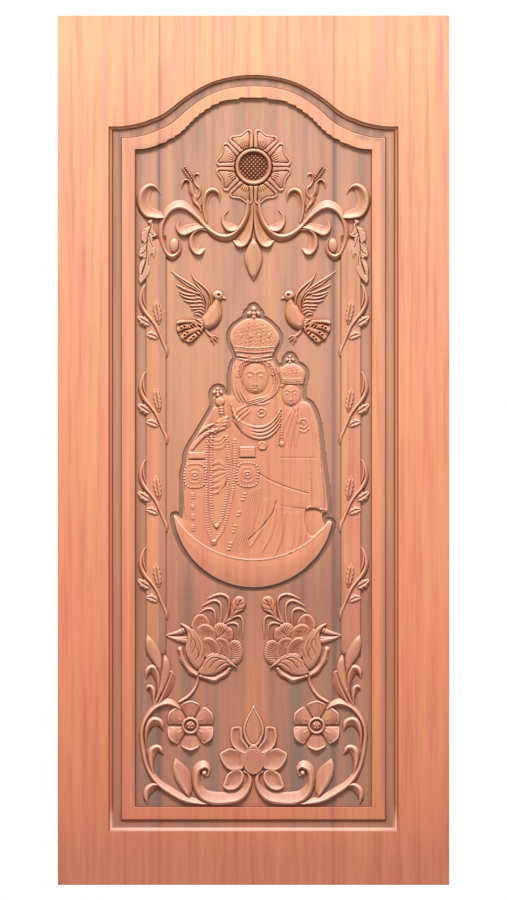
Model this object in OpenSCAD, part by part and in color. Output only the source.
// Carved solid-wood door leaf: three upright boards glued edge to edge, with an arched recess,
// its moulding and all the carving cut out of the same wood.
// The carved face looks towards -Y, the foot of the leaf stands on Z = 0 and X = 0 is the middle.
// The carving is drawn flat, with X across, Y up the leaf and Z out of the ground, and then stood up.

/* [Leaf] */
// Width of the leaf
leaf_w = 900; // [860:5:1000]
// Height of the leaf
leaf_h = 2000; // [1950:5:2200]
// Thickness of the leaf at its edges
leaf_t = 40; // [36:1:60]
// Chamfer along the leaf's front edges
edge_chamfer = 1.5; // [0.5:0.5:3]

/* [Boards] */
// Glue joint between the left and the middle board, from the leaf's middle
joint_left = -216; // [-230:1:-195]
// Glue joint between the middle and the right board, from the leaf's middle
joint_right = 184; // [165:1:199]

/* [Recess and moulding] */
// Width of the recess at the leaf's face
recess_w = 667; // [660:1:690]
// Height of the recess's lower edge above the foot
sill_z = 122; // [110:1:124]
// Height of the arch at its shoulders
shoulder_z = 1744; // [1742:1:1760]
// Height of the arch at its crown
crown_z = 1863; // [1860:1:1880]
// Depth of the carved ground below the leaf's face
ground_d = 11; // [10:0.5:13]
// Depth of the hollow that runs round inside the recess's edge
hollow_d = 6.5; // [5:0.5:8]
// Depth of the flat fillet between the hollow and the ground
fillet_d = 3.5; // [2.5:0.5:4.5]

/* [Carving] */
// Greatest rise of scrolls and leaves above the ground
leaf_rise = 8; // [6:0.5:9]
// Rise of the two upright bands above the ground
band_rise = 3; // [2:0.5:4]
// Number of vines up each band
vines = 4; // [1:1:4]
// Petals of the large rosette
rosette_petals = 8; // [6:1:10]
// Width of the groove cut round the figure
groove_w = 9.5; // [7:0.5:11]
// Depth of that groove below the ground
groove_d = 4; // [2:0.5:6]

/* [Hidden] */

wood_left = [0.86, 0.62, 0.45];
wood_middle = [0.88, 0.60, 0.46];
wood_right = [0.84, 0.58, 0.43];

// How far each carved form reaches into the wood below it
sunk = 1.5;
// Height of the tapering tips' rise for each millimetre of their width
tip_slope = 0.45;
tip_rise = 1.2;

// Sections across a carved form: [place across, share of the rise], from one foot to the other
FEATHER = [[1, 0], [0, 1], [-1, 0]];
ROUND = [[1, 0], [0.8, 0.62], [0, 1], [-0.8, 0.62], [-1, 0]];
DISHED = [[1, 0], [0.78, 1], [0, 0.55], [-0.78, 1], [-1, 0]];
PETAL = [[1, 0], [0.75, 1], [-0.75, 1], [-1, 0]];
CRESTED = [[1, 0], [0.5, 1], [-0.4, 0.45], [-1, 0]];

// ---------- curves ----------

// Point at share t of the way from b to c, on a smooth curve that comes from a and goes on to d
function spline(a, b, c, d, t) =
    0.5 * (2 * b + (c - a) * t + (2 * a - 5 * b + 4 * c - d) * t * t
        + (3 * b - a - 3 * c + d) * t * t * t);

// A smooth run through the points of p, with this many steps from each to the next
function smooth(p, steps) = let (n = len(p) - 1) [
    for (i = [0 : n - 1], s = [0 : steps - 1])
        spline(i == 0 ? 2 * p[0] - p[1] : p[i - 1], p[i], p[i + 1],
            i == n - 1 ? 2 * p[n] - p[n - 1] : p[i + 2], s / steps),
    p[n]
];

function unit(v) = v / max(norm(v), 0.001);
function flat(p) = [p[0], p[1]];
function polar(c, r, a) = [c[0] + r * cos(a), c[1] + r * sin(a)];

// Corners of a solid with its rings one after the other, k corners to a ring and both ends closed
function ring_faces(n, k) = [
    for (i = [0 : n - 2], j = [0 : k - 1])
        each let (a = i * k + j, b = i * k + (j + 1) % k) [[a, b + k, b], [a, a + k, b + k]],
    [for (j = [0 : k - 1]) j],
    [for (j = [k - 1 : -1 : 0]) (n - 1) * k + j]
];

// A carved form that follows a route of [x, y, width] stations; its far end can have a notch
module stroke(route, section = ROUND, rise = leaf_rise, steps = 1, lift = 0, notch = 0) {
    s = smooth(route, steps);
    n = len(s);
    points = [for (i = [0 : n - 1]) let (
        along = unit(flat(s[min(i + 1, n - 1)]) - flat(s[max(i - 1, 0)])),
        half = max(s[i][2], 1) / 2,
        top = lift + min(rise, tip_rise + 2 * half * tip_slope)
    ) for (p = section) let (back = i == n - 1 ? notch * (1 - abs(p[0])) : 0) [
        s[i][0] - along[1] * p[0] * half - along[0] * back,
        s[i][1] + along[0] * p[0] * half - along[1] * back,
        p[1] == 0 ? -sunk : lift + p[1] * (top - lift)
    ]];
    polyhedron(points, ring_faces(n, len(section)), convexity = 6);
}

// A low dome on an oval foot, k corners round
module dome(c, rx, ry, rise, k = 12) {
    translate([c[0], c[1], -sunk]) scale([rx, ry, 1]) hull() {
        cylinder(h = sunk, r = 1, $fn = k);
        cylinder(h = sunk + 0.6 * rise, r = 0.85, $fn = k);
        cylinder(h = sunk + rise, r = 0.4, $fn = k);
    }
}

module both_sides() {
    children();
    mirror([1, 0, 0]) children();
}

// ---------- boards ----------

// The arch's line as [share of the half width, share of the rise], shoulder to crown
OGEE = [[1, 0], [0.78, 0.07], [0.639, 0.22], [0.51, 0.49], [0.356, 0.769], [0.18, 0.945], [0, 1]];

// Right half of the arch, inset from the recess's edge: side, top and how full its haunches are
function half_arch(side, top, full) = let (rise = crown_z - shoulder_z) [
    for (p = smooth(OGEE, 2)) let (t = p[0])
        [(recess_w / 2 - side) * t,
         shoulder_z - top + rise * (p[1] + full * 16 * pow(t * (1 - t), 2))]
];

// Closed line of the recess, inset by these amounts at its sides, top and foot
function recess_line(side, top, foot, full) = let (half = half_arch(side, top, full)) concat(
    [[-recess_w / 2 + side, sill_z + foot], [recess_w / 2 - side, sill_z + foot]],
    half, [for (i = [len(half) - 2 : -1 : 0]) [-half[i][0], half[i][1]]]);

// Moulding from the edge inwards: [side, top and foot insets, fullness, depth below the face]
MOULDING = [
    [0, 0, 0, 0, -1], [0, 0, 0, 0, 1.2], [9.5, 10, 9, 0.02, hollow_d], [20, 20, 20, 0.03, hollow_d + 0.8],
    [29.5, 28, 30, 0.05, hollow_d], [30.5, 29, 31, 0.05, fillet_d],
    [61.5, 53, 57, 0.075, fillet_d], [61.8, 53.3, 57.3, 0.075, ground_d]
];

// The wood taken out of the recess, down to the ground
module recess() {
    lines = [for (m = MOULDING) [for (p = recess_line(m[0], m[1], m[2], m[3]))
        [p[0], p[1], ground_d - m[4]]]];
    k = len(lines[0]);
    polyhedron([for (l = lines) each l],
        [for (f = ring_faces(len(lines), k)) [for (i = [len(f) - 1 : -1 : 0]) f[i]]], convexity = 10);
}

// The blank, drawn flat with its ground at Z = 0 and its front edges chamfered
module blank() {
    back = leaf_t - ground_d;
    hull() {
        translate([-leaf_w / 2, 0, -back]) cube([leaf_w, leaf_h, leaf_t - edge_chamfer]);
        translate([-leaf_w / 2 + edge_chamfer, edge_chamfer, -back])
            cube([leaf_w - 2 * edge_chamfer, leaf_h - 2 * edge_chamfer, leaf_t]);
    }
}

// ---------- the two upright bands and their vines ----------

band_x = [202, 246];
band_y = [524, 1437];
vine_pitch = 201.7;

module band() {
    translate([band_x[0], band_y[0], -sunk])
        cube([band_x[1] - band_x[0], band_y[1] - band_y[0], sunk + band_rise]);
}

VINE = [[247, 1378, 2], [258, 1362, 5], [257, 1336, 8], [238, 1303, 9], [220, 1278, 9],
    [212, 1254, 9], [200, 1225, 3]];
VINE_LEAVES = [
    [[218, 1290, 4], [221, 1312, 14], [223, 1343, 2]],
    [[239, 1289, 4], [251, 1296, 15], [263, 1306, 2]],
    [[220, 1256, 4], [233, 1263, 14], [245, 1266, 4]]
];

module vine() {
    stroke(VINE, FEATHER, 5, 1, band_rise / 2);
    for (leaf = VINE_LEAVES) stroke(leaf, FEATHER, 3.5, 1, band_rise / 2);
}

// ---------- rosette over the figure ----------

rosette_c = [0, 1651];
rosette_r = 88;

// One lobed petal, pointing along +X from the rosette's middle
module rosette_petal() {
    stroke([[38, 0, 26], [72, 0, 54], [rosette_r - 1, 0, 50]], DISHED, 5.5, notch = 13);
}

module rosette() {
    step = 360 / rosette_petals;
    translate(rosette_c) {
        for (i = [0 : rosette_petals - 1]) rotate(90 + step * (i + 0.5)) rosette_petal();
        translate([0, 0, -sunk]) difference() {
            cylinder(h = sunk + leaf_rise, r1 = 43, r2 = 36, $fn = 16);
            translate([0, 0, sunk + 4]) cylinder(h = leaf_rise, r1 = 30, r2 = 35, $fn = 16);
        }
    }
}

// ---------- scrolls under the arch, right half ----------

TOP_STEM = [[13, 1568, 10], [20, 1524, 14], [54, 1488, 19], [90, 1494, 16], [142, 1550, 15],
    [167, 1565, 22], [197, 1551, 17], [214, 1500, 12], [206, 1462, 12], [188, 1446, 13],
    [172, 1456, 10], [174, 1486, 3]];
TOP_FORMS = [
    // hanging frond beside the middle bud
    [[3, 1562, 4], [9, 1508, 14], [21, 1478, 22], [35, 1470, 17], [47, 1480, 3]],
    // small curl inside the stem
    [[33, 1511, 3], [58, 1512, 17], [66, 1528, 10], [58, 1552, 2]],
    // upright curl beside the rosette
    [[108, 1528, 5], [114, 1568, 14], [100, 1593, 20], [82, 1586, 10], [78, 1568, 2]],
    // wing-shaped leaf under the stem
    [[108, 1513, 4], [148, 1507, 23], [167, 1502, 22], [170, 1528, 2]],
    // curl below that leaf
    [[96, 1500, 4], [128, 1502, 16], [139, 1480, 22], [127, 1457, 18], [112, 1463, 2]],
    // large outer curl
    [[209, 1536, 12], [244, 1554, 26], [253, 1577, 29], [240, 1602, 18], [224, 1602, 7], [215, 1590, 2]],
    // bud on the stem, with its right lip
    [[121, 1548, 3], [133, 1582, 18], [147, 1612, 10], [160, 1617, 8], [165, 1604, 2]],
    // the bud's left lip
    [[125, 1570, 6], [122, 1588, 6], [136, 1622, 6], [124, 1632, 2]]
];
BUD_SPIKE = [[133, 1600, 3], [142, 1624, 6], [161, 1651, 5]];
HANGING_LEAF = [[234, 1530, 5], [242, 1478, 32], [249, 1430, 25], [263, 1384, 2]];
HANGING_LOBES = [
    [[236, 1500, 8], [228, 1478, 10], [226, 1456, 3]],
    [[246, 1515, 6], [256, 1498, 11], [260, 1470, 3]],
    [[248, 1478, 8], [259, 1462, 11], [263, 1440, 3]]
];

module top_scrolls() {
    stroke(TOP_STEM, FEATHER, leaf_rise);
    for (f = TOP_FORMS) stroke(f, FEATHER, leaf_rise - 1);
    stroke(BUD_SPIKE, FEATHER, 4, 1);
    dome([182, 1472], 10.5, 17, 8, 8);
    stroke(HANGING_LEAF, PETAL, leaf_rise);
    for (f = HANGING_LOBES) stroke(f, FEATHER, leaf_rise - 1, 1, 2);
}

module middle_bud() {
    stroke([[0, 1478, 8], [0, 1460, 32], [0, 1444, 42], [0, 1420, 32], [0, 1392, 2]], FEATHER, leaf_rise);
}

// ---------- birds, right one ----------

BIRD_BODY = [[86, 1352, 14], [86, 1338, 17], [94, 1310, 40], [108, 1286, 26], [119, 1290, 10]];
BIRD_NEAR_WING = [
    [[113, 1346, 6], [130, 1371, 9], [189, 1411, 2]],
    [[119, 1358, 6], [146, 1376, 7], [184, 1400, 2]],
    [[117, 1354, 6], [146, 1368, 6], [177, 1379, 2]],
    [[115, 1348, 6], [144, 1355, 6], [171, 1364, 2]],
    [[113, 1340, 6], [136, 1345, 6], [160, 1343, 2]],
    [[111, 1332, 6], [130, 1337, 6], [150, 1331, 2]],
    [[112, 1322, 6], [127, 1326, 6], [141, 1319, 2]]
];
BIRD_FAR_WING = [
    [[96, 1342, 5], [106, 1368, 7], [145, 1409, 2]],
    [[103, 1332, 6], [112, 1361, 8], [138, 1395, 2]]
];
BIRD_LEG = [[110, 1282, 7], [104, 1268, 4], [95, 1259, 5]];
BIRD_TOES = [[82, 1259], [84, 1250], [92, 1241]];
bird_tail_root = [116, 1288];

module bird() {
    stroke(BIRD_BODY, ROUND, leaf_rise + 1);
    dome([81, 1356], 10, 9.5, leaf_rise, 8);
    stroke([[77, 1353, 8], [62, 1350, 2]], FEATHER, 4, 1);
    for (f = BIRD_NEAR_WING) stroke(f, FEATHER, 6, 1);
    for (f = BIRD_FAR_WING) stroke(f, FEATHER, 5, 1);
    for (a = [4 : -13 : -48]) {
        tip = polar(bird_tail_root, 60 - abs(a + 22) / 4, a);
        stroke([[bird_tail_root[0], bird_tail_root[1], 5], [each tip, 12]], PETAL, 5, 1);
    }
    stroke(BIRD_LEG, FEATHER, 4, 1);
    for (t = BIRD_TOES) stroke([[95, 1259, 4], [each t, 2]], FEATHER, 3, 1);
}

// ---------- bouquets, right one ----------

ROSE_FRONDS = [
    [[70, 600, 4], [56, 634, 9], [66, 664, 9], [84, 666, 6], [106, 659, 2]],
    [[77, 600, 4], [75, 634, 8], [94, 651, 8], [119, 641, 2]],
    [[88, 598, 4], [89, 624, 8], [107, 634, 6], [124, 626, 2]],
    [[68, 602, 3], [40, 616, 8], [26, 604, 7], [25, 571, 2]],
    [[66, 597, 3], [40, 598, 6], [36, 568, 2]],
    [[62, 590, 3], [48, 583, 6], [53, 559, 2]]
];
ROSE_PETALS = [
    [[52, 616, 8], [38, 644, 30], [30, 662, 18]],
    [[44, 512, 12], [38, 532, 32], [48, 556, 14]],
    [[66, 510, 16], [62, 538, 36], [74, 562, 20]],
    [[62, 556, 12], [60, 576, 26], [76, 596, 16]],
    [[100, 572, 30], [118, 594, 46], [130, 616, 24]],
    [[96, 520, 30], [98, 546, 48], [108, 584, 24]]
];
ROSE_LEAVES = [
    [[166, 599, 2], [148, 578, 20], [133, 535, 42], [130, 497, 12]],
    [[38, 500, 2], [74, 510, 28], [98, 502, 46], [124, 482, 4]]
];
ROSE_THORNS = [
    [[152, 560, 14], [201, 573, 2]],
    [[150, 586, 12], [201, 573, 2]]
];
ROSE_CUP = [[54, 497, 8], [64, 480, 12], [92, 472, 12], [127, 483, 12], [150, 497, 13], [169, 541, 8]];
ROSE_STEM = [[128, 485, 8], [131, 458, 7], [157, 427, 9], [172, 421, 4]];

module rose() {
    for (f = ROSE_FRONDS) stroke(f, FEATHER, 5, 1);
    for (f = ROSE_PETALS) stroke(f, PETAL, leaf_rise - 1);
    for (f = ROSE_LEAVES) stroke(f, CRESTED, leaf_rise + 0.5);
    for (f = ROSE_THORNS) stroke(f, FEATHER, 5, 1);
    stroke(ROSE_CUP, FEATHER, leaf_rise - 1);
    stroke(ROSE_STEM, FEATHER, 5);
}

// ---------- daisies, right one ----------

daisy_c = [145, 366];
daisy_r = 55;

module daisy() {
    translate(daisy_c) {
        for (a = [30 : 60 : 330]) rotate(a)
            stroke([[14, 0, 8], [42, 0, 43], [daisy_r, 0, 28]], PETAL, 5.5, 1);
        dome([0, 0], 20, 20, 8, 10);
    }
}

// ---------- scrolls at the foot, right half ----------

FOOT_SCROLL = [[20, 266, 4], [9, 255, 9], [11, 228, 13], [40, 206, 17], [74, 201, 23],
    [103, 203, 25], [126, 221, 21], [130, 256, 18], [113, 277, 16], [103, 266, 9], [109, 250, 3]];
FOOT_STEM = [[110, 190, 3], [170, 204, 15], [214, 232, 15], [244, 274, 13], [256, 320, 12],
    [254, 364, 11], [235, 399, 11], [206, 419, 15], [167, 405, 4]];
FOOT_LEAVES = [
    // upright spear
    [[146, 207, 8], [160, 240, 38], [172, 273, 20], [178, 290, 2]],
    // corner leaf
    [[192, 215, 3], [231, 224, 15], [246, 211, 19], [245, 187, 3]],
    // curls inside the stem
    [[224, 240, 3], [234, 280, 15], [231, 307, 22], [218, 311, 19], [207, 302, 3]],
    [[248, 312, 3], [244, 356, 14], [228, 375, 22], [208, 357, 3]],
    // hooks outside the stem
    [[221, 432, 5], [217, 468, 13], [231, 494, 21], [246, 477, 4]],
    [[233, 408, 4], [231, 446, 12], [247, 449, 3]],
    // long leaves that climb to the band
    [[188, 476, 10], [200, 450, 19], [217, 418, 10], [237, 394, 3]],
    [[203, 526, 3], [202, 490, 22], [212, 450, 12], [232, 406, 4]],
    [[244, 572, 2], [227, 532, 28], [216, 490, 9]]
];

module foot_scrolls() {
    stroke(FOOT_SCROLL, FEATHER, leaf_rise);
    stroke(FOOT_STEM, FEATHER, leaf_rise - 1);
    for (f = FOOT_LEAVES) stroke(f, FEATHER, leaf_rise - 1);
}

// ---------- lotus at the foot ----------

lotus_c = [0, 283];

LOTUS_PETALS = [
    [[15, 304, 8], [34, 328, 28], [38, 362, 18]],
    [[24, 283, 24], [50, 290, 44], [76, 303, 2]],
    [[35, 262, 18], [48, 238, 32], [70, 226, 5]]
];

module lotus() {
    both_sides() for (f = LOTUS_PETALS) stroke(f, DISHED, leaf_rise - 2);
    stroke([[0, 314, 12], [0, 336, 38], [0, 364, 50], [0, 391, 28], [0, 412, 2]], FEATHER, leaf_rise - 1);
    dome(lotus_c, 23, 30, leaf_rise, 10);
}

// ---------- mother and child ----------

moon_out = [0, 869.5, 184.5];
moon_in = [0, 960.6, 213.6];
moon_parts = 12;

// Outline of the crescent under the robe, kept back by this much
function crescent(back) = let (
    out_turn = [189.2, 350.8], in_turn = [213.5, 326.5]
) concat(
    [for (i = [0 : moon_parts])
        polar(moon_out, moon_out[2] - back, out_turn[0] + (out_turn[1] - out_turn[0]) * i / moon_parts)],
    [for (i = [moon_parts - 1 : -1 : 1])
        polar(moon_in, moon_in[2] + back, in_turn[0] + (in_turn[1] - in_turn[0]) * i / moon_parts)]);

// Outline of the two figures, from the mother's left shoulder round by her crown to the child
FIGURE = [[-159, 860], [-162, 940], [-151, 998], [-104, 1078], [-92, 1100], [-93, 1131], [-82, 1143],
    [-70, 1130], [-52, 1128], [-52, 1170], [-38, 1214], [-54, 1258], [-44, 1284], [-10, 1303],
    [-15, 1315], [0, 1330], [15, 1315], [10, 1303], [46, 1284], [60, 1256], [43, 1214], [52, 1194],
    [76, 1200], [75, 1210], [84, 1219], [93, 1210], [92, 1200], [119, 1175], [113, 1118], [131, 1104],
    [146, 1070], [159, 970], [170, 862], [100, 760], [-100, 760]];

module figure_line() {
    polygon(FIGURE);
    polygon(crescent(0));
}

// The groove that sets the figure off from the ground
module groove() {
    translate([0, 0, -groove_d]) linear_extrude(height = groove_d + 20) offset(delta = groove_w) figure_line();
}

head_c = [2, 1163];
child_head_c = [88, 1129];

// Robes of the mother and of the child
ROBES = [
    [[-8, 1116, 50], [-20, 1030, 200], [-28, 945, 250], [-18, 860, 230], [0, 780, 110]],
    [[98, 1104, 40], [108, 1050, 76], [124, 900, 70]]
];
// Veil, sleeve, crown bands and the folds of the robes
DRAPES = [
    [[-28, 1208, 12], [-45, 1162, 16], [-78, 1096, 8]],
    [[32, 1208, 12], [48, 1160, 15], [24, 1098, 8]],
    [[-138, 1012, 8], [-112, 1046, 22], [-56, 1079, 5]],
    [[-42, 1222, 20], [2, 1216, 26], [44, 1222, 20]],
    [[65, 1160, 14], [88, 1156, 22], [111, 1160, 14]],
    [[-46, 1104, 6], [0, 1068, 12], [50, 1114, 5]],
    [[-44, 1072, 5], [4, 1041, 10], [48, 1084, 5]],
    [[142, 1084, 6], [152, 980, 13], [161, 880, 10]],
    [[20, 944, 3], [56, 922, 6], [106, 904, 3]]
];
// Strings of beads over the robe
BEADS = [
    [[-110, 1010, 7], [-96, 800, 10]],
    [[-96, 1034, 6], [-86, 800, 9]],
    [[-46, 1026, 7], [-46, 958, 7]],
    [[-56, 940, 6], [-78, 808, 9]],
    [[-20, 908, 8], [-58, 770, 7]],
    [[14, 905, 4], [-30, 772, 4]]
];
MEDALLIONS = [[-136, 937], [-14, 942]];
medallion_r = 25;

// A small cross with flared arms
module cross(c, arm) {
    for (turn = [0, 90, 180, 270]) translate(c) rotate(turn)
        stroke([[-1, 0, 0.4 * arm], [arm, 0, 0.8 * arm]], FEATHER, 5, 1);
}

// Head with a plain oval face, its nose standing a little proud
module head(c, rx, ry, rise) {
    dome(c, rx, ry, rise, 12);
    stroke([[c[0], c[1] + 0.3 * ry, 0.3 * rx], [c[0], c[1] - 0.12 * ry, 0.36 * rx]], FEATHER, rise + 1.5, 1);
}

module figure() {
    translate([0, 0, -groove_d]) linear_extrude(height = groove_d + 0.5) figure_line();
    translate([0, 0, -sunk]) linear_extrude(height = sunk + 5) polygon(crescent(1.5));
    for (r = ROBES) stroke(r, ROUND, 4, 1);
    for (d = DRAPES) stroke(d, FEATHER, 6, 1);
    for (b = BEADS) stroke(b, FEATHER, 5.5, 1);
    for (m = MEDALLIONS) dome(m, medallion_r, medallion_r, 6, 10);
    dome([3, 1264], 55, 35, 8, 14);
    dome([89, 1180], 29, 17, 8, 10);
    head(head_c, 33, 42, 8);
    head(child_head_c, 23, 31, 8);
    cross([0, 1315], 13);
    cross([84, 1209], 8);
    cross([-82, 1132], 9);
    dome([-76, 1110], 12, 12, 7, 8);
}

// ---------- the whole leaf ----------

module leaf() {
    difference() {
        blank();
        recess();
        groove();
    }
    figure();
    rosette();
    middle_bud();
    lotus();
    both_sides() {
        band();
        for (i = [0 : vines - 1]) translate([0, -vine_pitch * i, 0]) vine();
        top_scrolls();
        bird();
        rose();
        daisy();
        foot_scrolls();
    }
}

// The part of the leaf between two heights of X, stood upright
module board(from, to) {
    intersection() {
        translate([0, ground_d - leaf_t / 2, 0]) rotate([90, 0, 0]) leaf();
        translate([from, -leaf_t, -1]) cube([to - from, 2 * leaf_t, leaf_h + 2]);
    }
}

module plank_left() color(wood_left) board(-leaf_w, joint_left);
module plank_middle() color(wood_middle) board(joint_left, joint_right);
module plank_right() color(wood_right) board(joint_right, leaf_w);

plank_left();
plank_middle();
plank_right();
